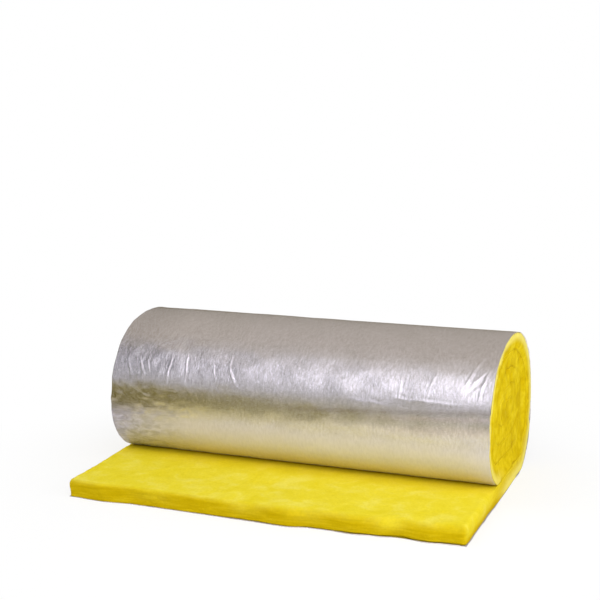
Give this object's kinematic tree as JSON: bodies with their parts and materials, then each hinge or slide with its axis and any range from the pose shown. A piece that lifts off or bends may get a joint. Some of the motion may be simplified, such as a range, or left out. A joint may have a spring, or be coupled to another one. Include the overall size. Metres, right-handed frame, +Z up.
{
  "type": "insulation roll",
  "caption": "Foil-faced glass-wool insulation blanket, wound into a roll that lies on its side, with its free end laid out flat in front, wool side up.",
  "frame": {"origin": "on the floor, in the middle of the footprint (bounding-box bottom centre)", "axes": "+Z up, X along the roll, the laid-out end points to -Y"},
  "size_m": [1.2, 0.8196, 0.4634],
  "materials": {
    "glass_wool": "loose yellow glass fibre, matt and fluffy, a little darker and more golden on the cut edges",
    "aluminium_foil": "bright thin foil with fine crinkles, creases and soft dents"
  },
  "bodies": {
    "root": {"wool_blanket": "glass_wool", "foil_facing": "aluminium_foil"}
  },
  "joints": []
}
